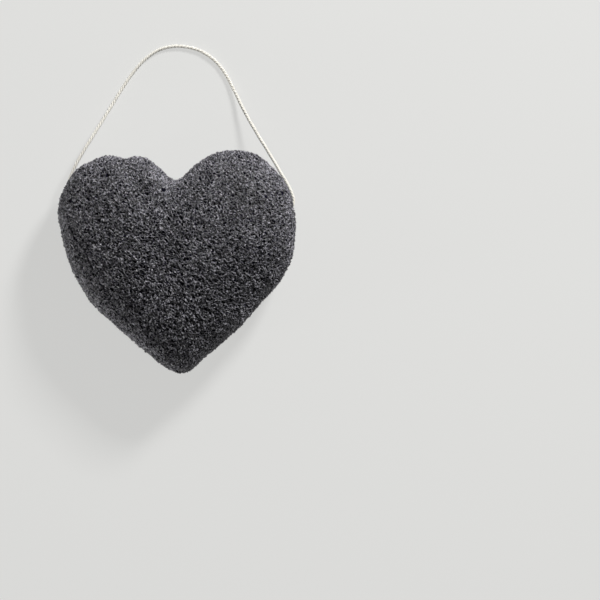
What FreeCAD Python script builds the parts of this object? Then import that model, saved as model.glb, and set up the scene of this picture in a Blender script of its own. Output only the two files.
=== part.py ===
import FreeCAD, Part
import enum
import math
import os

import Sketcher

# Heart-shaped konjac sponge with a hanging string, in millimetres.
# +Z points out of the crowned front, +Y towards the two lobes, and the origin is the middle of the flat back.
# The string is one cotton cord. It runs through a channel from flank to flank, its two ends are tied with a
# reef knot inside the sponge, and the free stretch is the loop that the sponge hangs by.

DIMENSIONS = {
    # Sponge, seen from the front
    "body_width": 82.0,
    "body_height": 77.0,
    "tip_radius": 7.5,
    "tip_shift": 0.6,
    "notch_radius": 3.2,
    "notch_shift": 0.7,
    "notch_depth": 10.2,
    "left_lobe_drop": 2.2,
    "dent_radius": 4.5,
    "right_flank_radius": 210.0,
    "left_flank_radius": 160.0,
    # Sponge, seen from the side
    "body_thickness": 28.0,
    "widest_height": 12.0,
    # String and the channel that it runs in
    "cord_diameter": 1.0,
    "channel_offset": 19.5,
    "channel_height": 12.0,
    "running_clearance": 0.06,
    "flare_depth": 1.3,
    "flare_width": 1.3,
    "seat_depth": 2.2,
    "knot_clearance": 0.3,
    "pocket_length": 22.0,
    "pocket_taper": 5.0,
    "cut_overrun": 4.0,
}

# Arcs of the two sides of the outline, as shares of half the body's width.
SIDE_SHARES = {
    "right_lobe_radius_share": 0.44,
    "right_lobe_offset_share": 0.48,
    "right_shoulder_radius_share": 0.79,
    "left_hump_radius_share": 0.235,
    "left_hump_offset_share": 0.356,
    "left_lobe_radius_share": 0.42,
    "left_lobe_offset_share": 0.564,
    "left_shoulder_radius_share": 0.92,
}

# Level sections of the sponge as (height, size) shares, a quarter ellipse up from the flat back.
# The height is a share of widest_height.
BACK_LEVEL_SHARES = (
    (0.0, 0.8),
    (0.05, 0.862),
    (0.19, 0.918),
    (0.41, 0.962),
    (0.69, 0.99),
    (1.0, 1.0),
)

# The same over the full crown, up from the widest section.
# The height is a share of the crown's rise above it.
CROWN_LEVEL_SHARES = (
    (0.16, 0.99),
    (0.32, 0.96),
    (0.47, 0.91),
    (0.605, 0.84),
    (0.725, 0.755),
    (0.83, 0.65),
    (0.91, 0.52),
    (0.967, 0.375),
    (1.0, 0.2),
)

# Furthest reach of the reef knot's surface from the channel's axis, as a share of the cord's diameter.
KNOT_REACH_SHARE = 2.4

# Left half of the reef knot as (along, across, out) shares of the cord's diameter.
# It leaves the channel's axis, passes through the right half's bight, turns round as a bight of its own and
# goes back beside itself to the tail.
HALF_KNOT_SHARES = (
    (-7.0, 0.0, 0.0),
    (-4.8, 0.5, 0.7),
    (-2.9, 0.62, 0.75),
    (-1.3, 0.62, -0.2),
    (0.0, 1.2, -0.75),
    (1.4, 1.95, -0.4),
    (2.8, 1.7, 0.5),
    (3.7, 0.62, 0.85),
    (3.7, -0.62, 0.85),
    (2.8, -1.7, 0.5),
    (1.4, -1.95, -0.4),
    (0.0, -1.2, -0.75),
    (-1.3, -0.62, -0.2),
    (-2.9, -0.62, 0.75),
    (-4.8, -0.8, 0.75),
    (-6.2, -1.05, 0.5),
)

# Free loop, chosen by hand from the right mouth to the left one: up the right flank, down to the surface that
# the sponge lies on, round the top of the loop and back to the left flank.
LOOP_ROUTE = (
    (40.75, 19.5, 12.0),
    (40.95, 21.6, 11.9),
    (39.9, 24.3, 11.6),
    (38.1, 28.1, 10.9),
    (35.2, 32.4, 9.7),
    (31.6, 38.0, 7.8),
    (27.5, 44.6, 5.4),
    (23.3, 52.0, 3.0),
    (20.2, 58.4, 1.4),
    (17.6, 63.8, 0.7),
    (14.9, 68.2, 0.5),
    (11.4, 71.7, 0.5),
    (7.2, 74.2, 0.5),
    (2.6, 75.4, 0.5),
    (-2.2, 75.6, 0.5),
    (-6.6, 74.5, 0.5),
    (-10.6, 72.1, 0.5),
    (-14.4, 68.4, 0.6),
    (-18.2, 63.2, 0.9),
    (-22.6, 56.0, 1.9),
    (-26.9, 48.6, 3.8),
    (-31.2, 41.6, 6.2),
    (-35.1, 35.0, 8.7),
    (-38.4, 29.6, 10.4),
    (-40.5, 25.2, 11.4),
    (-41.6, 21.8, 11.9),
    (-41.4, 19.5, 12.0),
)

# Part of each run that the arc at its end takes up.
RUN_SHARE = 0.45


class Number(enum.IntEnum):
    """Numbers that a sketch gives to its own horizontal axis and to the points of an edge."""

    H_AXIS = -1
    START = 1
    END = 2
    CENTRE = 3


doc = FreeCAD.newDocument("konjac_sponge")
sheet = doc.addObject("Spreadsheet::Sheet", "dims")


def fill_sheet():
    """Write the driving dimensions and the shares into the sheet, one aliased cell each."""
    cells = {**DIMENSIONS, **SIDE_SHARES}
    for kind, levels in (("back", BACK_LEVEL_SHARES), ("crown", CROWN_LEVEL_SHARES)):
        for count, (height_share, size_share) in enumerate(levels, start=1):
            cells[f"{kind}_level_{count}_height_share"] = height_share
            cells[f"{kind}_level_{count}_size_share"] = size_share
    cells["knot_reach_share"] = KNOT_REACH_SHARE
    for row, (alias, value) in enumerate(cells.items(), start=1):
        sheet.set(f"A{row}", alias)
        sheet.set(f"B{row}", str(value))
        sheet.setAlias(f"B{row}", alias)
    doc.recompute()


def value_of(expression):
    """The number that an expression of the sheet's cells gives."""
    return float(sheet.evalExpression(expression))


def side_expressions(side, top):
    """Arcs of one side, with centres measured outwards and upwards, as expressions of the cells.

    The shoulder arc reaches half the body's width and touches the lobe arc from outside, and so its height
    follows from the other sizes.
    """
    half_width = "dims.body_width / 2"
    lobe_radius = f"({half_width} * dims.{side}_lobe_radius_share)"
    lobe_x = f"({half_width} * dims.{side}_lobe_offset_share)"
    lobe_y = f"({top} - {lobe_radius})"
    shoulder_radius = f"({half_width} * dims.{side}_shoulder_radius_share)"
    shoulder_x = f"({half_width} - {shoulder_radius})"
    between = f"({shoulder_radius} - {lobe_radius})"
    shoulder_y = f"({lobe_y} - sqrt({between} ^ 2 - ({shoulder_x} - {lobe_x}) ^ 2))"
    reach = f"sqrt({shoulder_radius} ^ 2 - (dims.channel_offset - {shoulder_y}) ^ 2)"
    return {
        "lobe_radius": lobe_radius,
        "lobe_x": lobe_x,
        "lobe_y": lobe_y,
        "shoulder_radius": shoulder_radius,
        "shoulder_x": shoulder_x,
        "shoulder_y": shoulder_y,
        "flank_radius": f"dims.{side}_flank_radius",
        "flank_at_channel": f"({shoulder_x} + {reach})",
    }


def hump_expressions(top):
    """Arc of the small hump that the dent parts from the left lobe; the hump is as high as the lobe."""
    half_width = "dims.body_width / 2"
    radius = f"({half_width} * dims.left_hump_radius_share)"
    return {
        "hump_radius": radius,
        "hump_x": f"({half_width} * dims.left_hump_offset_share)",
        "hump_y": f"({top} - {radius})",
    }


LEFT_TOP = "(dims.body_height / 2 - dims.left_lobe_drop)"
RIGHT = side_expressions("right", "dims.body_height / 2")
LEFT = {**side_expressions("left", LEFT_TOP), **hump_expressions(LEFT_TOP)}
TIP_Y = "(dims.body_height / 2 - dims.tip_radius)"
NOTCH_Y = "(dims.body_height / 2 - dims.notch_depth + dims.notch_radius)"
BORE_RADIUS = "(dims.cord_diameter / 2 + dims.running_clearance)"
MOUTH_RADIUS = f"({BORE_RADIUS} + dims.flare_width)"
POCKET_RADIUS = "(dims.knot_reach_share * dims.cord_diameter + dims.knot_clearance)"


def meeting_point(first, first_reach, second, second_reach, toward):
    """The point at the two reaches from two centres that lies furthest along a direction."""
    across = second - first
    span = across.Length
    along = (span ** 2 + first_reach ** 2 - second_reach ** 2) / (2 * span)
    rise = math.sqrt(first_reach ** 2 - along ** 2)
    foot = first + across * (along / span)
    normal = FreeCAD.Vector(-across.y, across.x, 0) * (rise / span)
    return max(foot + normal, foot - normal, key=lambda point: point.dot(toward))


def direction(vector):
    """Angle of a vector in the XY plane."""
    return math.atan2(vector.y, vector.x)


def arc_between(centre, radius, start, end):
    """Counter-clockwise arc about a centre from the start angle to the end angle."""
    circle = Part.Circle(centre, FreeCAD.Vector(0, 0, 1), radius)
    if end < start:
        end += 2 * math.pi
    return Part.ArcOfCircle(circle, start, end)


def heart_outline(share):
    """The twelve tangent edges of the heart at one size: ten arcs and the two straight sides of the notch."""

    def size(expression):
        return value_of(expression) * share

    tip_radius = size("dims.tip_radius")
    tip = FreeCAD.Vector(size("dims.tip_shift"), -size(TIP_Y), 0)
    notch_radius = size("dims.notch_radius")
    notch = FreeCAD.Vector(-size("dims.notch_shift"), size(NOTCH_Y), 0)
    hump_radius = size(LEFT["hump_radius"])
    hump = FreeCAD.Vector(-size(LEFT["hump_x"]), size(LEFT["hump_y"]), 0)
    arcs = {}
    for side, sign, places in (("right", 1, RIGHT), ("left", -1, LEFT)):
        lobe_radius = size(places["lobe_radius"])
        shoulder_radius = size(places["shoulder_radius"])
        flank_radius = size(places["flank_radius"])
        lobe = FreeCAD.Vector(sign * size(places["lobe_x"]), size(places["lobe_y"]), 0)
        shoulder = FreeCAD.Vector(sign * size(places["shoulder_x"]), size(places["shoulder_y"]), 0)
        inward = FreeCAD.Vector(-sign, 0, 0)
        from_shoulder = flank_radius - shoulder_radius
        from_tip = flank_radius - tip_radius
        flank = meeting_point(shoulder, from_shoulder, tip, from_tip, inward)
        inner, inner_radius = (hump, hump_radius) if side == "left" else (lobe, lobe_radius)
        apart = notch - inner
        lean = math.acos((inner_radius + notch_radius) / apart.Length)
        notch_side = direction(apart) - sign * lean
        turns = {
            "tip": direction(tip - flank),
            "flank": direction(shoulder - flank),
            "shoulder": direction(lobe - shoulder),
            "notch_side": notch_side,
        }
        outward = FreeCAD.Vector(math.cos(notch_side), math.sin(notch_side), 0)
        notch_line = (inner + outward * inner_radius, notch - outward * notch_radius)
        arcs[side] = (lobe, lobe_radius, shoulder, shoulder_radius, flank, flank_radius, turns, notch_line)

    lobe, lobe_radius, shoulder, shoulder_radius, flank, flank_radius, right, right_line = arcs["right"]
    edges = {
        "right_flank": arc_between(flank, flank_radius, right["tip"], right["flank"]),
        "right_shoulder": arc_between(shoulder, shoulder_radius, right["flank"], right["shoulder"]),
        "right_lobe": arc_between(lobe, lobe_radius, right["shoulder"], right["notch_side"]),
    }
    lobe, lobe_radius, shoulder, shoulder_radius, flank, flank_radius, left, left_line = arcs["left"]
    edges["right_notch_side"] = Part.LineSegment(*right_line)
    notch_start = left["notch_side"] + math.pi
    notch_end = right["notch_side"] + math.pi
    edges["notch"] = arc_between(notch, notch_radius, notch_start, notch_end)
    edges["left_notch_side"] = Part.LineSegment(left_line[1], left_line[0])
    dent_radius = size("dims.dent_radius")
    from_hump = hump_radius + dent_radius
    from_lobe = lobe_radius + dent_radius
    dent = meeting_point(hump, from_hump, lobe, from_lobe, FreeCAD.Vector(0, 1, 0))
    edges["left_hump"] = arc_between(hump, hump_radius, left["notch_side"], direction(dent - hump))
    edges["left_dent"] = arc_between(dent, dent_radius, direction(lobe - dent), direction(hump - dent))
    edges["left_lobe"] = arc_between(lobe, lobe_radius, direction(dent - lobe), left["shoulder"])
    edges["left_shoulder"] = arc_between(shoulder, shoulder_radius, left["shoulder"], left["flank"])
    edges["left_flank"] = arc_between(flank, flank_radius, left["flank"], left["tip"])
    edges["tip"] = arc_between(tip, tip_radius, left["tip"], right["tip"])
    return edges


def bind(sketch, name, constraint, expression):
    """Add a named constraint to a sketch and bind it to an expression of the sheet's cells."""
    index = sketch.addConstraint(constraint)
    sketch.renameConstraint(index, name)
    sketch.setExpression(f"Constraints.{name}", expression)


def bind_place(sketch, name, point, right=None, up=None):
    """Bind a point's place from the origin; an expression with a leading minus measures left or down."""
    for axis, text in (("X", right), ("Y", up)):
        if text is None:
            continue
        origin = (Number.H_AXIS, Number.START)
        ends = (*point, *origin) if text.startswith("-") else (*origin, *point)
        expression = text.lstrip("-")
        constraint = Sketcher.Constraint(f"Distance{axis}", *ends, value_of(expression))
        bind(sketch, f"{name}_{axis.lower()}", constraint, expression)


def sketch_on_level(body, name, places):
    """New sketch parallel to the body's XY plane, its origin bound to expressions for x, y or z."""
    sketch = body.newObject("Sketcher::SketchObject", name)
    plane = next(item for item in body.Origin.OriginFeatures if item.Role == "XY_Plane")
    sketch.AttachmentSupport = (plane, [""])
    sketch.MapMode = "FlatFace"
    for axis, expression in places.items():
        sketch.setExpression(f"AttachmentOffset.Base.{axis}", expression)
    return sketch


def heart_section(body, name, height, share_alias):
    """One level section of the sponge: the heart scaled by a share, with every radius and place bound."""
    sketch = sketch_on_level(body, name, {"z": height})
    share = f"dims.{share_alias}"
    edges = heart_outline(value_of(share))
    index = {}
    for edge_name, edge in edges.items():
        index[edge_name] = sketch.addGeometry(edge, False)
    order = list(edges)
    hollow = ("notch", "left_dent")
    for before, after in zip(order, order[1:] + order[:1]):
        leaving = Number.START if before in hollow else Number.END
        arriving = Number.END if after in hollow else Number.START
        sketch.addConstraint(Sketcher.Constraint("Tangent", index[before], leaving, index[after], arriving))
    radii = {
        "tip": "dims.tip_radius",
        "notch": "dims.notch_radius",
        "left_hump": LEFT["hump_radius"],
        "left_dent": "dims.dent_radius",
    }
    for side, places in (("right", RIGHT), ("left", LEFT)):
        for arc in ("lobe", "shoulder", "flank"):
            radii[f"{side}_{arc}"] = places[f"{arc}_radius"]
    for edge_name, expression in radii.items():
        radius = f"{expression} * {share}"
        constraint = Sketcher.Constraint("Radius", index[edge_name], value_of(radius))
        bind(sketch, f"{edge_name}_radius", constraint, radius)
    centres = {
        "tip": (f"dims.tip_shift * {share}", f"-{TIP_Y} * {share}"),
        "notch": (f"-dims.notch_shift * {share}", f"{NOTCH_Y} * {share}"),
        "left_hump": (f"-{LEFT['hump_x']} * {share}", f"{LEFT['hump_y']} * {share}"),
        "right_lobe": (f"{RIGHT['lobe_x']} * {share}", f"{RIGHT['lobe_y']} * {share}"),
        "left_lobe": (f"-{LEFT['lobe_x']} * {share}", f"{LEFT['lobe_y']} * {share}"),
        "right_shoulder": (f"{RIGHT['shoulder_x']} * {share}", None),
        "left_shoulder": (f"-{LEFT['shoulder_x']} * {share}", None),
    }
    for edge_name, (right, up) in centres.items():
        bind_place(sketch, edge_name, (index[edge_name], Number.CENTRE), right, up)
    return sketch


def channel_profile(body):
    """Half section of the needle channel along its axis: flared mouths, bore and the pocket round the knot.

    Each corner is a pair of expressions, its place along the axis and its reach from it.
    """
    places = {"y": "dims.channel_offset", "z": "dims.channel_height"}
    sketch = sketch_on_level(body, "channel_profile", places)
    outer = "(dims.body_width / 2 + dims.cut_overrun)"
    halves = []
    for side in (RIGHT, LEFT):
        flank = side["flank_at_channel"]
        halves.append([
            (outer, None),
            (outer, MOUTH_RADIUS),
            (flank, MOUTH_RADIUS),
            (f"({flank} - dims.flare_depth)", BORE_RADIUS),
            ("(dims.pocket_length / 2)", BORE_RADIUS),
            ("(dims.pocket_length / 2 - dims.pocket_taper)", POCKET_RADIUS),
        ])
    right, left = halves
    corners = right + [(f"-{along}", out) for along, out in reversed(left)]
    points = []
    for along, out in corners:
        reach = value_of(out) if out else 0
        points.append(FreeCAD.Vector(value_of(along), reach, 0))
    for start, end in zip(points, points[1:] + points[:1]):
        sketch.addGeometry(Part.LineSegment(start, end), False)
    for index, (along, out) in enumerate(corners):
        before = (index or len(corners)) - 1
        joined = Sketcher.Constraint("Coincident", before, Number.END, index, Number.START)
        sketch.addConstraint(joined)
        if out is None:
            on_axis = Sketcher.Constraint("PointOnObject", index, Number.START, Number.H_AXIS)
            sketch.addConstraint(on_axis)
        bind_place(sketch, f"corner_{index}", (index, Number.START), along, out)
    return sketch


def make_sponge():
    """The moulded heart, a loft through its level sections, with the needle channel grooved through it."""
    body = doc.addObject("PartDesign::Body", "sponge_body")
    sections = []
    for count in range(1, len(BACK_LEVEL_SHARES) + 1):
        height = f"dims.widest_height * dims.back_level_{count}_height_share"
        size_alias = f"back_level_{count}_size_share"
        sections.append(heart_section(body, f"back_section_{count}", height, size_alias))
    for count in range(1, len(CROWN_LEVEL_SHARES) + 1):
        rise = f"(dims.body_thickness - dims.widest_height) * dims.crown_level_{count}_height_share"
        height = f"dims.widest_height + {rise}"
        size_alias = f"crown_level_{count}_size_share"
        sections.append(heart_section(body, f"crown_section_{count}", height, size_alias))
    doc.recompute()
    heart = body.newObject("PartDesign::AdditiveLoft", "moulded_heart")
    heart.Profile = sections[0]
    heart.Sections = sections[1:]
    heart.Ruled = True
    doc.recompute()
    whole = heart.Shape.Volume
    profile = channel_profile(body)
    doc.recompute()
    channel = body.newObject("PartDesign::Groove", "needle_channel")
    channel.Profile = profile
    channel.ReferenceAxis = (profile, ["H_Axis"])
    channel.Angle = 360
    doc.recompute()
    print(f"sponge volume {whole:.1f} mm3, of which the channel takes {whole - channel.Shape.Volume:.1f} mm3")
    return body


def cord_path(name, points):
    """Wire of straight runs joined by tangent arcs, each as large as its two runs allow; prints the radii."""
    edges = []
    radii = []
    last = points[0]
    for before, corner, after in zip(points, points[1:], points[2:]):
        arriving = corner - before
        leaving = after - corner
        turn = arriving.getAngle(leaving)
        cut = RUN_SHARE * min(arriving.Length, leaving.Length)
        radius = cut / math.tan(turn / 2)
        radii.append(radius)
        arriving.normalize()
        leaving.normalize()
        inward = (leaving - arriving).normalize()
        start = corner - arriving * cut
        middle = corner + inward * (math.hypot(radius, cut) - radius)
        end = corner + leaving * cut
        edges.append(Part.LineSegment(last, start).toShape())
        edges.append(Part.Arc(start, middle, end).toShape())
        last = end
    edges.append(Part.LineSegment(last, points[-1]).toShape())
    print(f"{name} arc radii:", " ".join(f"{radius:.1f}" for radius in radii))
    return Part.Wire(edges)


def make_cord(name, points, sides=12):
    """A cord along a route, swept from a many-sided section at the route's first point."""
    path = doc.addObject("Part::Feature", f"{name}_path")
    path.Shape = cord_path(name, points)
    section = doc.addObject("Part::RegularPolygon", f"{name}_section")
    section.Polygon = sides
    section.setExpression("Circumradius", "dims.cord_diameter / 2")
    along = FreeCAD.Rotation(FreeCAD.Vector(0, 0, 1), points[1] - points[0])
    section.Placement = FreeCAD.Placement(points[0], along)
    cord = doc.addObject("Part::Sweep", name)
    cord.Sections = [section]
    cord.Spine = (path, [f"Edge{count}" for count in range(1, len(path.Shape.Edges) + 1)])
    cord.Solid = True
    cord.Frenet = False
    doc.recompute()
    length = path.Shape.Length
    expected = Part.Face(section.Shape).Area * length
    print(f"{name} length {length:.1f} mm, volume {cord.Shape.Volume:.2f} of {expected:.2f} mm3")
    return cord


def seat_point(side):
    """Where the free loop meets the buried string, on the channel's axis just inside one mouth."""
    places, sign = (RIGHT, 1) if side == "right" else (LEFT, -1)
    along = value_of(f"{places['flank_at_channel']} - dims.seat_depth")
    return FreeCAD.Vector(sign * along, value_of("dims.channel_offset"), value_of("dims.channel_height"))


def make_loop():
    """The free stretch of the string, from mouth to mouth."""
    route = [FreeCAD.Vector(*place) for place in LOOP_ROUTE]
    return make_cord("hang_loop", [seat_point("right"), *route, seat_point("left")])


def make_string_end(side):
    """The buried stretch on one side, with its half of the reef knot and its tail.

    The right half is the left one turned by half a turn about the axis that points across the channel.
    """
    sign = -1 if side == "right" else 1
    middle = FreeCAD.Vector(0, value_of("dims.channel_offset"), value_of("dims.channel_height"))
    diameter = value_of("dims.cord_diameter")
    knot = []
    for along, across, out in HALF_KNOT_SHARES:
        knot.append(middle + FreeCAD.Vector(sign * along, across, sign * out) * diameter)
    return make_cord(f"{side}_string_end", [seat_point(side), *knot])


def check_and_write(parts):
    """Stop on any failed object or bad shape, then write one STEP file per piece."""
    for item in doc.Objects:
        if "Invalid" in item.State or "Error" in item.State:
            raise RuntimeError(f"{item.Label} failed: {item.State}")
    for part in parts:
        if part.Shape.isNull() or not part.Shape.isValid() or len(part.Shape.Solids) != 1:
            raise RuntimeError(f"{part.Label} is not one valid solid")
    os.makedirs("parts", exist_ok=True)
    for part in parts:
        part.Shape.exportStep(f"parts/{part.Label}.step")
        box = part.Shape.BoundBox
        print(f"{part.Label}: {box.XLength:.1f} x {box.YLength:.1f} x {box.ZLength:.1f} mm")
    left, right = parts[2].Shape, parts[3].Shape
    print(f"least gap between the knot's halves {left.distToShape(right)[0]:.2f} mm")


fill_sheet()
pieces = [make_sponge(), make_loop(), make_string_end("left"), make_string_end("right")]
doc.recompute()
check_and_write(pieces)
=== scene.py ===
import itertools
import math

import bpy
import numpy as np
from bpy.props import FloatProperty, FloatVectorProperty, IntProperty, PointerProperty
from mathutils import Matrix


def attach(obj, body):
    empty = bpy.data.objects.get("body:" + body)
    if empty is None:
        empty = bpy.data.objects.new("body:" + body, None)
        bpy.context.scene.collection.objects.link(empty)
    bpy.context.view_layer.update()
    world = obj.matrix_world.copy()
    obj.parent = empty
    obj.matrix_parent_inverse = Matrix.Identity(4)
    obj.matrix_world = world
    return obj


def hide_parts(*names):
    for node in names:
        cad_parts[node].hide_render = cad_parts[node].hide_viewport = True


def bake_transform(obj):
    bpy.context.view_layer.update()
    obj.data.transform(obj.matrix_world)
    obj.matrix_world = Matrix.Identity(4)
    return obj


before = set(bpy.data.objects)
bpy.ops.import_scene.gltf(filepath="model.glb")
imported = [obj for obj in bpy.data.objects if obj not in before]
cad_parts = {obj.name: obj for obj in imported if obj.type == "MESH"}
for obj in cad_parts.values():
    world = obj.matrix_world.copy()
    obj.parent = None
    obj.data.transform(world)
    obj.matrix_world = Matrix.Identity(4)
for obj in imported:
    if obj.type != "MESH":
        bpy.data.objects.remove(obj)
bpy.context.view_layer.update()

bl_info = {
    "name": "Konjac Sponge",
    "version": (1, 0, 0),
    "blender": (4, 5, 0),
    "location": "3D View > Sidebar > Sponge",
    "description": "Builds a heart-shaped charcoal konjac sponge with its cotton hanging loop",
    "category": "Add Mesh",
}

MM = 0.001

# Turn of the noise's cubes, so that their sides lie along no side of the sponge.
TILT = np.array(((2, -1, 2), (2, 2, -1), (-1, 2, 2))) / 3

# The cells are drawn out a little from the left lobe towards the right flank, in degrees and as a share.
DRAWN_WAY = -42
DRAWN_SHARE = 0.35

# Relief of the skin: lumps as (size, height, salt of the noise), the rise that makes up for what the cells
# take away, the stubs of torn walls, and the height over which all these fade in above the flat back.
LUMPS = ((11 * MM, 0.35 * MM, 11), (4 * MM, 0.45 * MM, 12))
SKIN_RISE = 0.25 * MM
STUB_SIZE = 0.6 * MM
STUB_HEIGHT = 0.32 * MM
FADE_HEIGHT = 3 * MM

# The most that a whole wall's crest lies below the skin, and the share of walls that are torn down, by a
# share of the cells' depth.
CREST_DROP = 0.5 * MM
TORN_WALLS = 0.4
TORN_DEPTH = 0.4

# The scattered larger holes, and the depth at which the painted shade in one is fully dark.
HOLE_SPACING = 6 * MM
HOLE_RADII = (0.4 * MM, 0.95 * MM)
HOLE_SHADE_DEPTH = 0.6 * MM

# The dimple that the string draws in where it enters the sponge.
DIMPLE_DEPTH = 2.6 * MM
DIMPLE_WIDTH = 0.75 * MM

# Pattern of the foam's material: clouds of charcoal, bent films of small cells, and grain. Films and grain
# are really a few hundredths of a millimetre thick, too fine to show, so they are drawn coarser.
CLOUD_SIZE = 14 * MM
BEND_SIZE = 0.95 * MM
BEND_REACH = 1.1 * MM
FILM_SIZE = 0.74 * MM
GRAIN_SIZE = 0.55 * MM
BUMP_HEIGHT = 0.6 * MM

# Brightness painted into the foam's colour as a multiple of its plain colour: painted glints of the grain's
# flecks and of the films, painted rim light on the steep rim, and the most that all of them together may
# give.
GLINT_FLECK_POWER = 4.2
GLINT_FLECK_GAIN = 14.5
GLINT_FLECK_BASE = 0.03
FILM_GLINT_GAIN = 7.2
RIM_LIGHT_GAIN = 0.8
RIM_LIGHT_BASE = 0.95
BRIGHTEST_PAINTED_GLINT = 6.5

# Fibres of the cotton in millimetres and degrees: length and width of a streak, and its slant on the yarn.
STREAK_LENGTH = 1.6
STREAK_WIDTH = 0.16
STREAK_SLANT = 24
STREAK_HEIGHT = 0.06 * MM

# A yarn's radius and its distance from the string's middle as shares of the string's diameter, the sides of
# its tube, the waves in its thickness, and the shelves that it is laid out on in the bake's map.
YARN_SHARE = 0.35
YARN_OFFSET_SHARE = 0.23
YARN_SIDES = 10
UNEVEN_SHARE = 0.08
UNEVEN_LENGTH = 7.3 * MM
YARN_SHELVES = 12

# Stage, in metres and watts: the key lamp, the low lamps that light the rims as (name, place, power), the
# camera and the floor, with the share of the floor's look that is an even glow.
KEY_PLACE = (0.54, 0.85, 0.56)
KEY_SIZE = 0.2
RIM_LAMPS = (("left_fill", (-0.7, -0.3, 0.03), 3.2), ("right_fill", (0.75, -0.5, 0.05), 0.3))
RIM_LAMP_SIZE = 0.12
WIDEST_LEVEL = 12.0 * MM
CAMERA_ACROSS = (42.5 * MM, -13.4 * MM)
SENSOR_WIDTH = 36.0
FLOOR_HALF = 2.0
FLOOR_DROP = 0.05 * MM
FLOOR_EVEN_SHARE = 0.72

# Outline of the heart at its widest level: degrees round the middle, reach in millimetres.
# The step at 117 degrees is the small dent in the top of the left lobe.
OUTLINE = (
    (5.0, 40.4), (14.9, 42.4), (26.8, 44.8), (33.3, 45.9), (41.5, 46.3), (48.9, 46.2), (56.8, 45.3),
    (63.1, 43.2), (69.3, 40.5), (75.3, 36.6), (81.2, 32.7), (86.3, 29.3), (90.6, 28.3), (96.1, 29.4),
    (100.1, 31.9), (105.1, 35.7), (111.5, 39.0), (117.5, 40.3), (122.4, 43.3), (130.5, 45.75),
    (138.3, 47.2), (144.9, 46.9), (153.5, 45.6), (160.4, 43.5), (169.7, 40.3), (189.3, 35.8),
    (207.4, 32.8), (225.3, 30.8), (243.3, 31.8), (256.7, 34.9), (265.3, 37.5), (270.9, 38.5),
    (275.6, 38.2), (279.7, 36.7), (289.2, 33.7), (303.2, 31.7), (318.9, 31.3), (337.5, 32.9),
    (351.9, 37.0),
)

# Where the string goes into the sponge, in millimetres.
RIGHT_MOUTH = (40.0, 19.5, 11.2)
LEFT_MOUTH = (-40.4, 19.8, 8.4)

# Route of the free loop in millimetres, from inside the right mouth round to inside the left one.
# By the two mouths its points are moved in towards the foam: the right leg hugs the rim, and the left one is
# tucked in under it.
LOOP_ROUTE = (
    (37.75, 19.5, 12.0), (39.2, 18.9, 11.5), (40.3, 19.8, 10.9), (40.3, 21.75, 10.6), (39.5, 24.2, 10.4),
    (38.15, 27.0, 10.2), (36.3, 30.0, 9.8), (34.15, 33.65, 9.0), (31.6, 38.0, 7.8), (27.5, 44.6, 5.4),
    (23.3, 52.0, 3.0), (20.2, 58.4, 1.4), (17.6, 63.8, 0.75), (14.9, 68.2, 0.6), (11.4, 71.7, 0.6),
    (7.2, 74.2, 0.6), (2.6, 75.4, 0.6), (-2.2, 75.6, 0.6), (-6.6, 74.5, 0.6), (-10.6, 72.1, 0.6),
    (-14.4, 68.4, 0.65), (-18.2, 63.2, 0.9), (-22.6, 56.0, 1.9), (-26.9, 48.6, 3.6), (-31.2, 41.6, 5.4),
    (-34.9, 35.3, 6.3), (-37.0, 31.0, 6.2), (-38.2, 27.6, 6.0), (-39.0, 24.6, 6.0), (-39.8, 22.0, 6.6),
    (-40.3, 20.0, 7.9), (-39.8, 19.0, 9.8), (-38.39, 19.5, 12.0),
)

# Left half of the reef knot in millimetres from the middle of the channel: along it, across it and out.
HALF_KNOT = (
    (-7.0, 0.0, 0.0), (-4.8, 0.5, 0.7), (-2.9, 0.62, 0.75), (-1.3, 0.62, -0.2), (0.0, 1.2, -0.75),
    (1.4, 1.95, -0.4), (2.8, 1.7, 0.5), (3.7, 0.62, 0.85), (3.7, -0.62, 0.85), (2.8, -1.7, 0.5),
    (1.4, -1.95, -0.4), (0.0, -1.2, -0.75), (-1.3, -0.62, -0.2), (-2.9, -0.62, 0.75), (-4.8, -0.8, 0.75),
    (-6.2, -1.05, 0.5),
)
CHANNEL_MIDDLE = (0.0, 19.5, 12.0)
RIGHT_SEAT = LOOP_ROUTE[0]
LEFT_SEAT = LOOP_ROUTE[-1]


def linear(hex_colour):
    """Linear RGBA of an sRGB hex colour: a power of 2.4 above a short straight foot."""
    value = hex_colour.lstrip("#")
    shares = [int(value[place:place + 2], 16) / 255 for place in (0, 2, 4)]
    return tuple(c / 12.92 if c <= 0.04045 else ((c + 0.055) / 1.055) ** 2.4 for c in shares) + (1.0,)


class SpongeSettings(bpy.types.PropertyGroup):
    """Sizes and colours of the foam."""

    thickness: FloatProperty(
        name="Thickness", description="From the flat back to the top of the crown",
        default=28.0 * MM, unit="LENGTH")
    widest_height: FloatProperty(
        name="Widest height", description="Height of the widest level above the back",
        default=WIDEST_LEVEL, unit="LENGTH")
    back_share: FloatProperty(
        name="Back share", description="Size of the flat back beside the widest level",
        default=0.8, subtype="FACTOR")
    crown_power: FloatProperty(
        name="Crown fullness", description="Power of the crown's curve; more is fuller and flatter on top",
        default=2.6)
    grid_steps: IntProperty(
        name="Grid steps", description="Steps along each side of the front and back grids",
        default=440)
    pore_size: FloatProperty(
        name="Pore size", description="Mean width of the open cells",
        default=0.8 * MM, unit="LENGTH")
    pore_depth: FloatProperty(
        name="Pore depth", description="Depth of the deepest cells below the skin",
        default=0.85 * MM, unit="LENGTH")
    strut_width: FloatProperty(
        name="Strut width", description="Width of the slope from a ridge's crest down into its cell",
        default=0.26 * MM, unit="LENGTH")
    strut_colour: FloatVectorProperty(
        name="Strut colour", description="Charcoal-coloured gel on the ridges",
        default=linear("#565559"), size=4, subtype="COLOR")
    # Painted shade: the near-black colour drawn down in the cells, where they lie in shade.
    pit_shade_colour: FloatVectorProperty(
        name="Pit colour", description="Charcoal-coloured gel down in the cells",
        default=linear("#0a0912"), size=4, subtype="COLOR")


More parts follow.
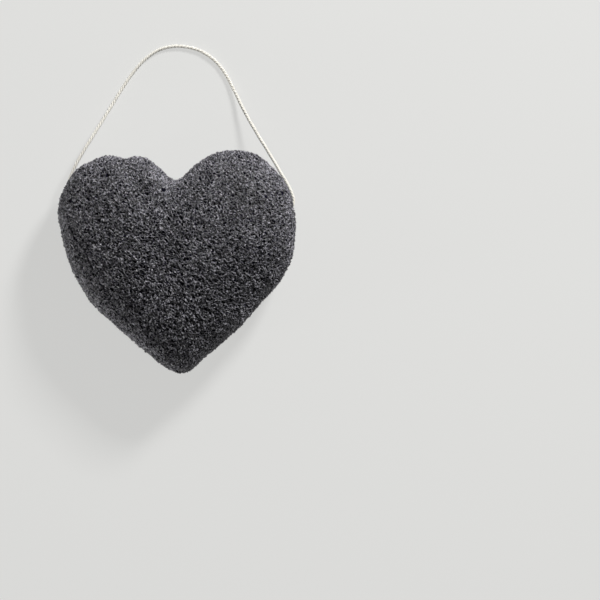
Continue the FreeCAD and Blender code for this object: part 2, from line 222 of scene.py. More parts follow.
class StringSettings(bpy.types.PropertyGroup):
    """Sizes and colours of the cotton string."""

    diameter: FloatProperty(
        name="Diameter", description="Thickness of the whole twisted string",
        default=1.0 * MM, unit="LENGTH")
    strands: IntProperty(
        name="Strands", description="Yarns that are twisted together",
        default=3)
    lay: FloatProperty(
        name="Lay", description="Length of one full turn of a yarn",
        default=3.6 * MM, unit="LENGTH")
    step: FloatProperty(
        name="Step", description="Distance between two rings of a yarn",
        default=0.28 * MM, unit="LENGTH")
    cotton_colour: FloatVectorProperty(
        name="Cotton colour", description="Colour of the yarn",
        default=linear("#f4f1e8"), size=4, subtype="COLOR")
    # Painted shade: the darker colour drawn in the gaps between the yarn's fibres.
    fibre_gap_shade_colour: FloatVectorProperty(
        name="Groove colour", description="Colour between the yarn's fibres",
        default=linear("#e4dfd3"), size=4, subtype="COLOR")


class StageSettings(bpy.types.PropertyGroup):
    """Floor, light and camera."""

    floor_colour: FloatVectorProperty(
        name="Floor colour", description="Colour of the plain floor",
        default=linear("#e6e6e4"), size=4, subtype="COLOR")
    world_strength: FloatProperty(
        name="Surrounding light", description="Strength of the even light from all sides",
        default=0.11)
    key_power: FloatProperty(
        name="Key light", description="Power of the soft main lamp",
        default=15.5, unit="POWER")
    camera_height: FloatProperty(
        name="Camera height", description="Distance of the camera above the sponge's widest level",
        default=1.2, unit="LENGTH")
    frame_width: FloatProperty(
        name="Frame width", description="Width of the picture at the sponge's widest level",
        default=208.2 * MM, unit="LENGTH")


def add_node(tree, kind, inputs=None, links=None, **settings):
    """Add a node, set its properties and sockets, and link sockets to other nodes' outputs."""
    node = tree.nodes.new(kind)
    for name, value in settings.items():
        setattr(node, name, value)
    for socket, value in (inputs or {}).items():
        node.inputs[socket].default_value = value
    for socket, (source, output) in (links or {}).items():
        tree.links.new(source.outputs[output], node.inputs[socket])
    return node


def new_material(name):
    """New material without nodes, and its node tree."""
    material = bpy.data.materials.new(name)
    material.use_nodes = True
    material.node_tree.nodes.clear()
    return material, material.node_tree


def set_ramp(node, stops):
    """Give a colour ramp its (place, linear colour) stops."""
    elements = node.color_ramp.elements
    while len(elements) < len(stops):
        elements.new(0.5)
    for element, (place, colour) in zip(elements, stops):
        element.position = place
        element.color = colour


def konjac_foam_material(settings):
    """Charcoal konjac foam: a starch gel with charcoal powder, whipped, frozen and dried in a mould."""
    # The ice leaves open cells with thin smooth gel walls, and the moist ridges are glossy. The colour has
    # painted highlights, bright flecks and films where the ridges would glint, painted shade that takes the
    # cells almost to black, and a painted rim light that makes the steep rim a little paler.
    material, tree = new_material("charcoal_konjac_foam")
    place = add_node(tree, "ShaderNodeTexCoord")
    drawn = add_node(
        tree, "ShaderNodeMapping",
        {"Rotation": (0, 0, math.radians(DRAWN_WAY)), "Scale": (1 / (1 - DRAWN_SHARE), 1, 1)},
        {"Vector": (place, "Object")}, vector_type="TEXTURE")
    painted_pit_shade = add_node(tree, "ShaderNodeAttribute", attribute_name="painted_pit_shade")
    painted_rim_light = add_node(tree, "ShaderNodeAttribute", attribute_name="painted_rim_light")

    # Painted shade: colour darkened by the depth in the cells; clouds where there is more charcoal or less.
    ramp = add_node(tree, "ShaderNodeValToRGB", links={"Fac": (painted_pit_shade, "Fac")})
    strut = tuple(settings.strut_colour)
    dark = tuple(settings.pit_shade_colour)
    half = tuple(0.35 * a + 0.65 * b for a, b in zip(strut, dark))
    set_ramp(ramp, ((0.05, strut), (0.28, half), (0.65, dark)))
    cloud = add_node(
        tree, "ShaderNodeTexNoise", {"Scale": 1 / CLOUD_SIZE, "Detail": 3.0},
        {"Vector": (place, "Object")})
    shade = add_node(
        tree, "ShaderNodeMapRange", {"From Min": 0.3, "From Max": 0.7, "To Min": 0.72, "To Max": 1.25},
        {"Value": (cloud, "Fac")})

    # Painted glints: flecks of the grain brighten the colour; the power keeps most dark, leaves a few
    # bright.
    grain = add_node(
        tree, "ShaderNodeTexNoise", {"Scale": 1 / GRAIN_SIZE, "Detail": 3.0, "Roughness": 0.65},
        {"Vector": (drawn, 0)})
    glint_fleck = add_node(
        tree, "ShaderNodeMapRange", {"From Min": 0.36, "From Max": 0.7, "To Min": 0.0, "To Max": 1.0},
        {"Value": (grain, "Fac")})
    sharp = add_node(tree, "ShaderNodeMath", {1: GLINT_FLECK_POWER}, {0: (glint_fleck, 0)}, operation="POWER")
    sharp = add_node(
        tree, "ShaderNodeMath", {1: GLINT_FLECK_GAIN, 2: GLINT_FLECK_BASE}, {0: (sharp, 0)}, operation="MULTIPLY_ADD")

    # Painted glints on films: the edges of small cells, bent by noise, brightened where the grain is pale.
    bend = add_node(
        tree, "ShaderNodeTexNoise", {"Scale": 1 / BEND_SIZE, "Detail": 1.0}, {"Vector": (drawn, 0)})
    stir = add_node(
        tree, "ShaderNodeVectorMath", {1: (0.5, 0.5, 0.5)}, {0: (bend, "Color")}, operation="SUBTRACT")
    bent = add_node(
        tree, "ShaderNodeVectorMath", {1: (BEND_REACH, BEND_REACH, BEND_REACH)},
        {0: (stir, 0), 2: (drawn, 0)}, operation="MULTIPLY_ADD")
    film = add_node(
        tree, "ShaderNodeTexVoronoi", {"Scale": 1 / FILM_SIZE}, {"Vector": (bent, 0)},
        feature="DISTANCE_TO_EDGE")
    ridge = add_node(
        tree, "ShaderNodeMapRange", {"From Min": 0.02, "From Max": 0.13, "To Min": 1.0, "To Max": 0.0},
        {"Value": (film, "Distance")})
    lit = add_node(tree, "ShaderNodeMath", links={0: (ridge, 0), 1: (glint_fleck, 0)}, operation="MULTIPLY")
    painted_glints = add_node(
        tree, "ShaderNodeMath", {1: FILM_GLINT_GAIN}, {0: (lit, 0), 2: (sharp, 0)}, operation="MULTIPLY_ADD")

    # All together, with painted rim light, and a limit that keeps the brightest painted glints from glaring.
    # Painted rim light: the colour is made paler where the smooth heart is steep.
    rim_brightening = add_node(
        tree, "ShaderNodeMath", {1: RIM_LIGHT_GAIN, 2: RIM_LIGHT_BASE}, {0: (painted_rim_light, "Fac")}, operation="MULTIPLY_ADD")
    both = add_node(tree, "ShaderNodeMath", links={0: (shade, 0), 1: (painted_glints, 0)}, operation="MULTIPLY")
    both = add_node(tree, "ShaderNodeMath", links={0: (both, 0), 1: (rim_brightening, 0)}, operation="MULTIPLY")
    both = add_node(tree, "ShaderNodeMath", {1: BRIGHTEST_PAINTED_GLINT}, {0: (both, 0)}, operation="MINIMUM")
    toned = add_node(
        tree, "ShaderNodeVectorMath", links={0: (ramp, "Color"), "Scale": (both, 0)}, operation="SCALE")

    # Moist crests are smooth and glossy; in the cells the gloss is taken down as painted shade.
    rough = add_node(
        tree, "ShaderNodeMapRange", {"From Min": 0.3, "From Max": 0.7, "To Min": 0.4, "To Max": 0.18},
        {"Value": (grain, "Fac")})
    gloss = add_node(
        tree, "ShaderNodeMapRange", {"From Min": 0.1, "From Max": 0.6, "To Min": 0.78, "To Max": 0.08},
        {"Value": (painted_pit_shade, "Fac")})
    raised = add_node(
        tree, "ShaderNodeMath", {1: 0.25}, {0: (ridge, 0), 2: (grain, "Fac")}, operation="MULTIPLY_ADD")
    bump = add_node(
        tree, "ShaderNodeBump", {"Strength": 1.0, "Distance": BUMP_HEIGHT}, {"Height": (raised, 0)})
    shader = add_node(
        tree, "ShaderNodeBsdfPrincipled", {"IOR": 1.5},
        {"Base Color": (toned, 0), "Roughness": (rough, 0), "Normal": (bump, 0),
         "Specular IOR Level": (gloss, 0)})
    add_node(tree, "ShaderNodeOutputMaterial", links={"Surface": (shader, 0)})
    return material


def cotton_material(settings):
    """Twisted cotton yarn: carded fibres spun into yarns and laid up as a cord, bleached and matt."""
    # Fibres run at a slant round each yarn, which gives fine soft streaks, painted shade in the gaps between
    # fibres, and darker lines between yarns.
    # A fibre is about 0.02 mm thick; the streaks are drawn 0.16 mm wide, as a tuft of fibres would show.
    material, tree = new_material("twisted_cotton")
    yarn = add_node(tree, "ShaderNodeUVMap", uv_map="yarn")
    slant = add_node(
        tree, "ShaderNodeMapping",
        {"Rotation": (0, 0, math.radians(STREAK_SLANT)), "Scale": (1 / STREAK_LENGTH, 1 / STREAK_WIDTH, 1)},
        {"Vector": (yarn, 0)})
    fibre = add_node(
        tree, "ShaderNodeTexNoise", {"Scale": 1.0, "Detail": 3.0, "Roughness": 0.6}, {"Vector": (slant, 0)},
        noise_dimensions="2D")
    ramp = add_node(tree, "ShaderNodeValToRGB", links={"Fac": (fibre, "Fac")})
    set_ramp(ramp, ((0.25, tuple(settings.fibre_gap_shade_colour)), (0.6, tuple(settings.cotton_colour))))
    bump = add_node(
        tree, "ShaderNodeBump", {"Strength": 0.6, "Distance": STREAK_HEIGHT}, {"Height": (fibre, "Fac")})
    shader = add_node(
        tree, "ShaderNodeBsdfPrincipled",
        {"Roughness": 0.85, "Sheen Weight": 0.3, "Sheen Roughness": 0.5},
        {"Base Color": (ramp, "Color"), "Normal": (bump, 0)})
    add_node(tree, "ShaderNodeOutputMaterial", links={"Surface": (shader, 0)})
    return material


def floor_material(settings):
    """Matt painted board: an even pale coat that shows only the soft shadow on it."""
    # To the camera and in reflections a share of it is an even glow, so the lamp's falloff doesn't show.
    material, tree = new_material("matt_painted_board")
    colour = tuple(settings.floor_colour)
    shader = add_node(tree, "ShaderNodeBsdfPrincipled", {"Base Color": colour, "Roughness": 0.9})
    even = add_node(tree, "ShaderNodeEmission", {"Color": colour, "Strength": 1.0})
    ray = add_node(tree, "ShaderNodeLightPath")
    seen = add_node(
        tree, "ShaderNodeMath", links={0: (ray, "Is Camera Ray"), 1: (ray, "Is Glossy Ray")},
        operation="MAXIMUM")
    seen = add_node(
        tree, "ShaderNodeMath", links={0: (seen, 0), 1: (ray, "Is Transmission Ray")}, operation="MAXIMUM")
    part = add_node(tree, "ShaderNodeMath", {1: FLOOR_EVEN_SHARE}, {0: (seen, 0)}, operation="MULTIPLY")
    both = add_node(tree, "ShaderNodeMixShader", links={0: (part, 0), 1: (shader, 0), 2: (even, 0)})
    add_node(tree, "ShaderNodeOutputMaterial", links={"Surface": (both, 0)})
    return material


def put_mesh(name, points, quads, material):
    """New object at the origin from arrays of points in metres and of four corners each."""
    mesh = bpy.data.meshes.new(name)
    mesh.vertices.add(len(points))
    mesh.vertices.foreach_set("co", np.asarray(points, dtype=np.float32).ravel())
    mesh.loops.add(4 * len(quads))
    mesh.loops.foreach_set("vertex_index", np.asarray(quads, dtype=np.int32).ravel())
    mesh.polygons.add(len(quads))
    mesh.polygons.foreach_set("loop_start", np.arange(len(quads), dtype=np.int32) * 4)
    mesh.polygons.foreach_set("use_smooth", np.ones(len(quads), dtype=bool))
    mesh.update(calc_edges=True)
    mesh.materials.append(material)
    piece = bpy.data.objects.new(name, mesh)
    bpy.context.scene.collection.objects.link(piece)
    return piece


def put_uv(piece, name, corners):
    """New UV map from an array of one (u, v) pair for each corner of each face."""
    layer = piece.data.uv_layers.new(name=name)
    layer.data.foreach_set("uv", np.asarray(corners, dtype=np.float32).ravel())


def outline_reach(angle):
    """Reach of the heart's outline at an angle, in metres.

    A closed cubic curve through the outline's points: the slopes at the points solve the usual ring of
    equations that make the second derivative continuous.
    """
    at = np.radians([degrees for degrees, _ in OUTLINE])
    reach = np.array([length for _, length in OUTLINE]) * MM
    gap = np.diff(np.append(at, at[0] + 2 * math.pi))
    rise = (np.roll(reach, -1) - reach) / gap
    count = len(at)
    own = np.arange(count)
    system = np.zeros((count, count))
    system[own, own - 1] = gap
    system[own, own] = 2 * (gap + np.roll(gap, 1))
    system[own, (own + 1) % count] = np.roll(gap, 1)
    slope = np.linalg.solve(system, 3 * (gap * np.roll(rise, 1) + np.roll(gap, 1) * rise))
    turned = np.mod(angle - at[0], 2 * math.pi) + at[0]
    before = np.clip(np.searchsorted(at, turned, side="right") - 1, 0, count - 1)
    after = (before + 1) % count
    t = (turned - at[before]) / gap[before]
    hermite = (
        (1 + 2 * t) * (1 - t) ** 2 * reach[before] + t * (1 - t) ** 2 * gap[before] * slope[before]
        + t * t * (3 - 2 * t) * reach[after] + t * t * (t - 1) * gap[before] * slope[after])
    return hermite


def rounded_reach(angle):
    """Outline with the notch and tip smoothed away: its mean and first three waves round the middle."""
    ring = np.linspace(0, 2 * math.pi, 720, endpoint=False)
    waves = np.fft.rfft(outline_reach(ring))
    waves[4:] = 0
    smooth = np.fft.irfft(waves, 720)
    return np.interp(np.mod(angle, 2 * math.pi), np.append(ring, 2 * math.pi), np.append(smooth, smooth[0]))


def square_to_disc(steps):
    """Polar grid from a square one: the square ring at distance q becomes the circle of radius q."""
    side = np.linspace(-1, 1, steps + 1)
    u, v = np.meshgrid(side, side, indexing="ij")
    wide = np.abs(u) >= np.abs(v)
    q = np.maximum(np.abs(u), np.abs(v))
    safe_u = np.where(u == 0, 1, u)
    safe_v = np.where(v == 0, 1, v)
    flat = math.pi / 4 * v / safe_u + np.where(u < 0, math.pi, 0)
    steep = math.pi / 2 - math.pi / 4 * u / safe_v + np.where(v < 0, math.pi, 0)
    return q, np.where(wide, flat, steep)


def even_profile(size, height, steps_to, mean_reach):
    """Size and height along a half profile, read at even shares of its length from the middle outwards."""
    length = np.append(0, np.cumsum(np.hypot(np.diff(size * mean_reach), np.diff(height))))
    share = length / length[-1]
    return np.interp(steps_to, share, size), np.interp(steps_to, share, height)


def heart_points(settings):
    """Smooth front and back of the heart as two grids that share their rim.

    Front: size = cos(a) ** (2 / power) and height = widest + rise * sin(a). Back: a flat of the back's
    share, and a quarter ellipse from it out to the widest level. The outline at each level fades to the
    rounded one inwards, with the square of the size.
    """
    q, angle = square_to_disc(settings.grid_steps)
    sharp = outline_reach(angle)
    round_reach = rounded_reach(angle)
    mean_reach = float(np.mean(sharp))
    turn = np.linspace(0, math.pi / 2, 800)
    rise = settings.thickness - settings.widest_height
    front_size = np.cos(turn[::-1]) ** (2 / settings.crown_power)
    front_height = settings.widest_height + rise * np.sin(turn[::-1])
    rim = settings.back_share + (1 - settings.back_share) * np.sin(turn)
    back_size = np.append(np.linspace(0, settings.back_share, 200, endpoint=False), rim)
    back_height = np.append(np.zeros(200), settings.widest_height * (1 - np.cos(turn)))
    grids = []
    for size, height in ((front_size, front_height), (back_size, back_height)):
        share, z = even_profile(size, height, q, mean_reach)
        own = share ** 2
        reach = share * (own * sharp + (1 - own) * round_reach)
        grids.append(np.stack((reach * np.cos(angle), reach * np.sin(angle), z), axis=-1))
    return grids


def closed_heart(front, back):
    """One closed mesh from the two grids: points, four corners per face, and the flat map of each corner."""
    rows = front.shape[0]
    number = np.arange(rows * rows).reshape(rows, rows)
    inner = np.zeros((rows, rows), dtype=bool)
    inner[1:-1, 1:-1] = True
    back_number = number.copy()
    back_number[inner] = rows * rows + np.arange(int(inner.sum()))
    points = np.concatenate((front.reshape(-1, 3), back[inner]))

    def corners(grid, order):
        four = (grid[:-1, :-1], grid[1:, :-1], grid[1:, 1:], grid[:-1, 1:])
        return np.stack([four[place].ravel() for place in order], axis=1)

    outwards = (0, 1, 2, 3)
    inwards = (0, 3, 2, 1)
    quads = np.concatenate((corners(number, outwards), corners(back_number, inwards)))
    side = np.linspace(0.01, 0.49, rows)
    u, v = np.meshgrid(side, np.linspace(0.02, 0.98, rows), indexing="ij")
    flat = np.stack((u.ravel(), v.ravel()), axis=1)
    maps = np.concatenate((flat[corners(number, outwards)], flat[corners(number, inwards)] + (0.5, 0)))
    return points, quads, maps


def point_normals(points, quads):
    """Outward unit normals at the points: summed cross products of the diagonals of the faces round each."""
    a, b, c, d = (points[quads[:, place]] for place in range(4))
    face = np.cross(c - a, d - b)
    normals = np.zeros_like(points)
    for place in range(4):
        for axis in range(3):
            normals[:, axis] += np.bincount(quads[:, place], face[:, axis], len(points))
    return normals / np.linalg.norm(normals, axis=1, keepdims=True)


def eased(share):
    """Soft step of a share from 0 to 1: 3t^2 - 2t^3."""
    return share * share * (3 - 2 * share)


def cell_random(cells, salt):
    """Even random numbers from 0 to 1 for whole-number cells, the same on every run.

    Products of a cell's numbers with large primes are joined bit by bit, then mixed by shifts and products.
    """
    whole = np.asarray(cells, dtype=np.int64)
    mixed = whole[..., 0] * 73856093 ^ whole[..., 1] * 19349663 ^ whole[..., 2] * 83492791 ^ salt * 40503
    mixed = (mixed ^ (mixed >> 13)) * 1274126177 & 0xFFFFFFFF
    mixed = (mixed ^ (mixed >> 15)) * 2246822519 & 0xFFFFFFFF
    return (mixed ^ (mixed >> 16)) / 0x100000000


def soft_noise(points, size, salt):
    """Smooth noise from 0 to 1 with lumps of a size: random values at cubes' corners, soft steps between."""
    scaled = points @ TILT / size
    cell = np.floor(scaled).astype(np.int64)
    t = eased(scaled - cell)
    total = np.zeros(len(points))
    for corner in itertools.product((0, 1), repeat=3):
        weight = np.prod(np.where(corner, t, 1 - t), axis=1)
        total += weight * cell_random(cell + np.array(corner), salt)
    return total


def foam_cells(points, size, salt):
    """Cells of a foam: each point belongs to the nearest of the seeds, one at a random place in each cube.

    Gives the distance to the wall that stands midway between the two nearest seeds, the own cell's random
    number and the wall's, which is the fraction of the two cells' sum and so the same from both sides.
    """
    base = np.floor(points / size).astype(np.int64)
    count = len(points)
    near = np.full(count, np.inf)
    far = np.full(count, np.inf)
    near_seed = np.zeros((count, 3))
    far_seed = np.zeros((count, 3))
    own = np.zeros(count)
    other = np.zeros(count)
    for offset in itertools.product((-1, 0, 1), repeat=3):
        cell = base + np.array(offset)
        jitter = np.stack([cell_random(cell, salt + axis) for axis in range(3)], axis=1)
        seed = (cell + jitter) * size
        number = cell_random(cell, salt + 7)
        away = np.sum((points - seed) ** 2, axis=1)
        nearer = away < near
        second = ~nearer & (away < far)
        far = np.where(nearer, near, np.where(second, away, far))
        far_seed = np.where(nearer[:, None], near_seed, np.where(second[:, None], seed, far_seed))
        other = np.where(nearer, own, np.where(second, number, other))
        near = np.where(nearer, away, near)
        near_seed = np.where(nearer[:, None], seed, near_seed)
        own = np.where(nearer, number, own)
    wall = (far - near) / (2 * np.linalg.norm(far_seed - near_seed, axis=1))
    return wall, own, np.mod(own + other, 1)


def stirred(points, size, reach, salt):
    """Points moved about by smooth noise along each axis, so that cells worked out from them bend and wind.

    Their places along the drawn-out way are also cut by its share, which makes the cells longer that way.
    """
    way = np.array((math.cos(math.radians(DRAWN_WAY)), math.sin(math.radians(DRAWN_WAY)), 0))
    moved = reach * np.stack([soft_noise(points, size, salt + axis) - 0.5 for axis in range(3)], axis=1)
    return points - DRAWN_SHARE * (points @ way)[:, None] * way + moved


def round_holes(points, normals, size, radii, salt):
    """Depth of scattered ball-shaped holes: how far along the inward normal each point leaves the balls."""
    base = np.floor(points / size).astype(np.int64)
    depth = np.zeros(len(points))
    for offset in itertools.product((-1, 0, 1), repeat=3):
        cell = base + np.array(offset)
        jitter = np.stack([cell_random(cell, salt + axis) for axis in range(3)], axis=1)
        radius = radii[0] + (radii[1] - radii[0]) * cell_random(cell, salt + 5) ** 2
        to_middle = (cell + jitter) * size - points
        along = -np.sum(to_middle * normals, axis=1)
        beside = np.sum(to_middle ** 2, axis=1) - along ** 2
        half = np.sqrt(np.maximum(radius ** 2 - beside, 0))
        inside = np.sum(to_middle ** 2, axis=1) < radius ** 2
        depth = np.maximum(depth, np.where(inside, along + half, 0))
    return depth


def mouth_dimple(points, mouth):
    """Depth of the dimple that the string draws into the flank: the bell exp(-(distance / width)^2)."""
    middle = np.array(mouth) * MM
    near_side = np.sign(middle[0]) * points[:, 0] > 0.9 * abs(middle[0])
    away = np.hypot(points[:, 1] - middle[1], points[:, 2] - middle[2])
    return np.where(near_side, DIMPLE_DEPTH * np.exp(-(away / DIMPLE_WIDTH) ** 2), 0)


def make_konjac_heart(settings):
    """The sponge: the smooth heart with lumps, stubs of torn walls, open cells, larger holes and dimples.

    Each point moves along its normal by the lumps and the skin's rise, then by its stub less the depth.
    At a cell's wall the depth is the crest's, and over the strut's width the soft step leads down from there
    to the cell's own. A hole counts where it is deeper. The material reads two attributes:
    painted_pit_shade, how far down in a cell a point lies, which it paints as shade, and painted_rim_light,
    how steep the smooth heart is there, which picks out the rim that it paints paler as rim light.
    """
    front, back = heart_points(settings)
    points, quads, maps = closed_heart(front, back)
    normals = point_normals(points, quads)
    lumps = sum(height * (soft_noise(points, size, salt) - 0.5) for size, height, salt in LUMPS)
    above_back = np.clip(points[:, 2] / FADE_HEIGHT, 0, 1)
    # Painted rim light: the share of steepness that makes the rim paler in the colour.
    painted_rim_light = eased(np.clip((1 - np.abs(normals[:, 2])) / 0.7, 0, 1))
    stubs = STUB_HEIGHT * eased(np.clip((soft_noise(points, STUB_SIZE, 13) - 0.6) / 0.25, 0, 1))
    points = points + normals * ((lumps + SKIN_RISE) * above_back)[:, None]
    normals = point_normals(points, quads)
    pore = settings.pore_size
    wall, own, firm = foam_cells(stirred(points, 1.2 * pore, 1.1 * pore, 51), pore, 21)
    open_share = eased(np.clip(wall / settings.strut_width, 0, 1))
    torn = settings.pore_depth * np.where(firm < TORN_WALLS, TORN_DEPTH, 0)
    crest = CREST_DROP * soft_noise(points, 1.3 * pore, 31) ** 1.5 + torn
    cell_depth = settings.pore_depth * (0.3 + 0.7 * own ** 1.5)
    depth = crest + (np.maximum(cell_depth, crest) - crest) * open_share
    holes = round_holes(points, normals, HOLE_SPACING, HOLE_RADII, 41)
    depth = np.maximum(depth, holes)
    # Painted shade: how far the colour is darkened, by the depth in a cell or a hole.
    shade = np.maximum(open_share * (0.35 + 0.65 * own), np.clip(holes / HOLE_SHADE_DEPTH, 0, 1))
    points = points + normals * (stubs * above_back - depth)[:, None]
    for mouth in (RIGHT_MOUTH, LEFT_MOUTH):
        inward = np.array((-np.sign(mouth[0]), 0, 0))
        points = points + inward * mouth_dimple(points, mouth)[:, None]
    points[:, 2] = np.maximum(points[:, 2], 0)
    piece = put_mesh("konjac_heart", points, quads, konjac_foam_material(settings))
    put_uv(piece, "OFBake", maps)
    for name, values in (("painted_pit_shade", shade), ("painted_rim_light", painted_rim_light)):
        attribute = piece.data.attributes.new(name, "FLOAT", "POINT")
        attribute.data.foreach_set("value", values.astype(np.float32))
    return piece


def spline_points(name, route):
    """Points of the smooth line that a route in millimetres gives as control points of a NURBS spline."""
    curve = bpy.data.curves.new(name, "CURVE")
    curve.dimensions = "3D"
    spline = curve.splines.new("NURBS")
    spline.points.add(len(route) - 1)
    spline.points.foreach_set("co", np.hstack((np.array(route) * MM, np.ones((len(route), 1)))).ravel())
    spline.order_u = 3
    spline.use_endpoint_u = True
    spline.resolution_u = 16
    holder = bpy.data.objects.new(name, curve)
    bpy.context.scene.collection.objects.link(holder)
    bpy.context.view_layer.update()
    line = bpy.data.meshes.new_from_object(holder.evaluated_get(bpy.context.evaluated_depsgraph_get()))
    points = np.zeros(3 * len(line.vertices))
    line.vertices.foreach_get("co", points)
    bpy.data.objects.remove(holder)
    bpy.data.curves.remove(curve)
    bpy.data.meshes.remove(line)
    return points.reshape(-1, 3)


def even_points(points, step):
    """A line's points at even distances of about a step, and those distances."""
    length = np.append(0, np.cumsum(np.linalg.norm(np.diff(points, axis=0), axis=1)))
    count = int(length[-1] / step) + 1
    at = np.linspace(0, length[-1], count + 1)
    return np.stack([np.interp(at, length, points[:, axis]) for axis in range(3)], axis=1), at


def twisted_string(name, route, settings, material):
    """Yarns twisted round a route: yarn k is a tube round path + a (cos t * side + sin t * up).

    Here t is 2 pi (distance / lay + k / yarns), and side and up stand square to the path.
    """
    path, at = even_points(spline_points(name, route), settings.step)
    along = np.gradient(path, axis=0)
    along /= np.linalg.norm(along, axis=1, keepdims=True)
    side = np.cross(along, (0, 0, 1))
    side /= np.linalg.norm(side, axis=1, keepdims=True)
    up = np.cross(side, along)
    yarn_radius = YARN_SHARE * settings.diameter
    offset = YARN_OFFSET_SHARE * settings.diameter
    sides = YARN_SIDES
    shelves = YARN_SHELVES
    rings = len(path)
    yarns = np.arange(settings.strands)[:, None]
    turn = 2 * math.pi * (at[None, :] / settings.lay + yarns / settings.strands)
    middle = path + offset * (np.cos(turn)[..., None] * side + np.sin(turn)[..., None] * up)
    uneven = 1 + UNEVEN_SHARE * np.sin(2 * math.pi * at / UNEVEN_LENGTH + 1.7 * yarns)
    ends = np.minimum(1, 0.25 + np.minimum(np.arange(rings), np.arange(rings)[::-1]) / 2)
    round_angle = 2 * math.pi * np.arange(sides) / sides
    ring = np.cos(round_angle)[:, None, None] * side + np.sin(round_angle)[:, None, None] * up
    radius = yarn_radius * uneven * ends
    points = middle[:, :, None] + radius[:, :, None, None] * ring.transpose(1, 0, 2)[None]
    number = np.arange(settings.strands * rings * sides).reshape(settings.strands, rings, sides)
    beside = np.roll(number, -1, axis=2)
    quads = np.stack((number[:, :-1], beside[:, :-1], beside[:, 1:], number[:, 1:]), axis=-1).reshape(-1, 4)
    caps = []
    for end, order in ((0, (0, 3, 2, 1)), (rings - 1, (0, 1, 2, 3))):
        first = number[:, end]
        strip = np.stack([
            first[:, (k, k + 1, sides - 2 - k, sides - 1 - k)] for k in range(sides // 2 - 1)], axis=1)
        caps.append(strip.reshape(-1, 4)[:, order])
    piece = put_mesh(name, points.reshape(-1, 3), np.concatenate((quads, *caps)), material)
    per_shelf = -(-(rings - 1) // shelves)
    strand, ring_at, round_at = (
        part.ravel() for part in np.meshgrid(
            np.arange(settings.strands), np.arange(rings - 1), np.arange(sides), indexing="ij"))
    on_shelf = ring_at // per_shelf
    steps_u = np.stack((ring_at, ring_at, ring_at + 1, ring_at + 1), axis=1)
    steps_v = np.stack((round_at, round_at + 1, round_at + 1, round_at), axis=1)
    shelf = (strand * shelves + on_shelf)[:, None]
    bake_u = 0.02 + 0.96 * (steps_u - (on_shelf * per_shelf)[:, None]) / per_shelf
    bake_v = (shelf + 0.06 + 0.8 * steps_v / sides) / (settings.strands * shelves)
    cap_count = sum(len(cap) for cap in caps)
    cap_at = np.zeros((cap_count, 4, 2))
    put_uv(piece, "OFBake", np.concatenate((np.stack((bake_u, bake_v), axis=-1), cap_at)))
    around = 2 * math.pi * yarn_radius / MM * (steps_v / sides + strand[:, None])
    yarn = np.stack((at[steps_u] / MM, around), axis=-1)
    put_uv(piece, "yarn", np.concatenate((yarn, cap_at)))
    return piece, path


def add_lamp(scene, name, place, size, power):
    """New square area lamp at a place, turned towards the origin."""
    lamp = bpy.data.lights.new(name, "AREA")
    lamp.shape = "SQUARE"
    lamp.size = size
    lamp.energy = power
    holder = bpy.data.objects.new(name, lamp)
    holder.location = place
    holder.rotation_euler = holder.location.to_track_quat("Z", "Y").to_euler()
    scene.collection.objects.link(holder)


class KONJAC_OT_heart(bpy.types.Operator):
    """Make the heart-shaped sponge"""

    bl_idname = "konjac.heart"
    bl_label = "Konjac heart"

    def execute(self, context):
        piece = make_konjac_heart(context.scene.konjac_foam)
        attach(piece, "sponge")
        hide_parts("sponge_body")
        return {"FINISHED"}


class KONJAC_OT_string(bpy.types.Operator):
    """Make the hanging loop and the two knotted ends inside the sponge"""

    bl_idname = "konjac.string"
    bl_label = "Cotton string"

    def execute(self, context):
        settings = context.scene.konjac_string
        material = cotton_material(settings)
        loop, path = twisted_string("cotton_loop", LOOP_ROUTE, settings, material)
        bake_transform(loop)
        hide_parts("hang_loop")
        for side, turned, seat in (("left", 1, LEFT_SEAT), ("right", -1, RIGHT_SEAT)):
            knot = np.array(HALF_KNOT) * (turned, 1, turned) + CHANNEL_MIDDLE
            end, _ = twisted_string(f"{side}_knotted_end", [seat, *knot], settings, material)
            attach(end, "string")
            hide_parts(f"{side}_string_end")
        return {"FINISHED"}


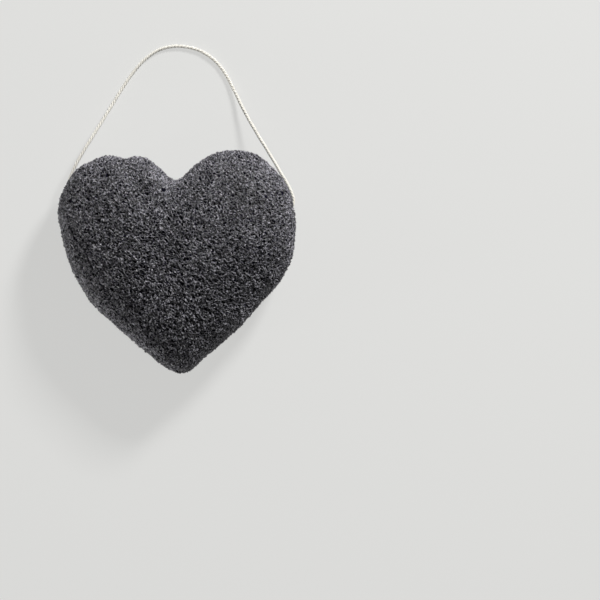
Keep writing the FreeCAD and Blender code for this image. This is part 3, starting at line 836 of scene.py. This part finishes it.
class KONJAC_OT_stage(bpy.types.Operator):
    """Make the floor, the soft light and the camera"""

    bl_idname = "konjac.stage"
    bl_label = "Stage"

    def execute(self, context):
        settings = context.scene.konjac_stage
        scene = context.scene
        x = FLOOR_HALF * np.array((-1, 1, 1, -1))
        y = FLOOR_HALF * np.array((-1, -1, 1, 1))
        corners = np.stack((x, y, np.full(4, -FLOOR_DROP)), axis=1)
        floor = put_mesh("floor", corners, np.array(((0, 1, 2, 3),)), floor_material(settings))
        world = bpy.data.worlds.new("soft_room")
        world.use_nodes = True
        world.node_tree.nodes["Background"].inputs["Color"].default_value = (1, 1, 1, 1)
        world.node_tree.nodes["Background"].inputs["Strength"].default_value = settings.world_strength
        scene.world = world
        add_lamp(scene, "soft_key", KEY_PLACE, KEY_SIZE, settings.key_power)
        for name, place, power in RIM_LAMPS:
            add_lamp(scene, name, place, RIM_LAMP_SIZE, power)
        lens = bpy.data.cameras.new("camera")
        lens.sensor_width = SENSOR_WIDTH
        lens.lens = lens.sensor_width * settings.camera_height / settings.frame_width
        camera = bpy.data.objects.new("camera", lens)
        camera.location = (*CAMERA_ACROSS, WIDEST_LEVEL + settings.camera_height)
        scene.collection.objects.link(camera)
        scene.camera = camera
        scene.view_settings.view_transform = "Standard"
        return {"FINISHED"}


class KONJAC_PT_panel(bpy.types.Panel):
    """Sizes and colours of the sponge, and the steps that make it"""

    bl_label = "Konjac sponge"
    bl_space_type = "VIEW_3D"
    bl_region_type = "UI"
    bl_category = "Sponge"

    def draw(self, context):
        for group in GROUPS:
            settings = getattr(context.scene, group)
            box = self.layout.box()
            for name in settings.bl_rna.properties.keys():
                if name not in ("rna_type", "name"):
                    box.prop(settings, name)
        for operator in (KONJAC_OT_stage, KONJAC_OT_heart, KONJAC_OT_string):
            self.layout.operator(operator.bl_idname)


GROUPS = {"konjac_foam": SpongeSettings, "konjac_string": StringSettings, "konjac_stage": StageSettings}
CLASSES = (*GROUPS.values(), KONJAC_OT_heart, KONJAC_OT_string, KONJAC_OT_stage, KONJAC_PT_panel)


def register():
    """Register the classes, and give the scene its groups of settings."""
    for item in CLASSES:
        bpy.utils.register_class(item)
    for name, group in GROUPS.items():
        setattr(bpy.types.Scene, name, PointerProperty(type=group))


def unregister():
    """Take the groups of settings and the classes away again."""
    for name in GROUPS:
        delattr(bpy.types.Scene, name)
    for item in reversed(CLASSES):
        bpy.utils.unregister_class(item)


def main():
    """Make the stage, the sponge and the string in order."""
    register()
    bpy.ops.konjac.stage()
    bpy.ops.konjac.heart()
    bpy.ops.konjac.string()


if __name__ == "__main__":
    main()
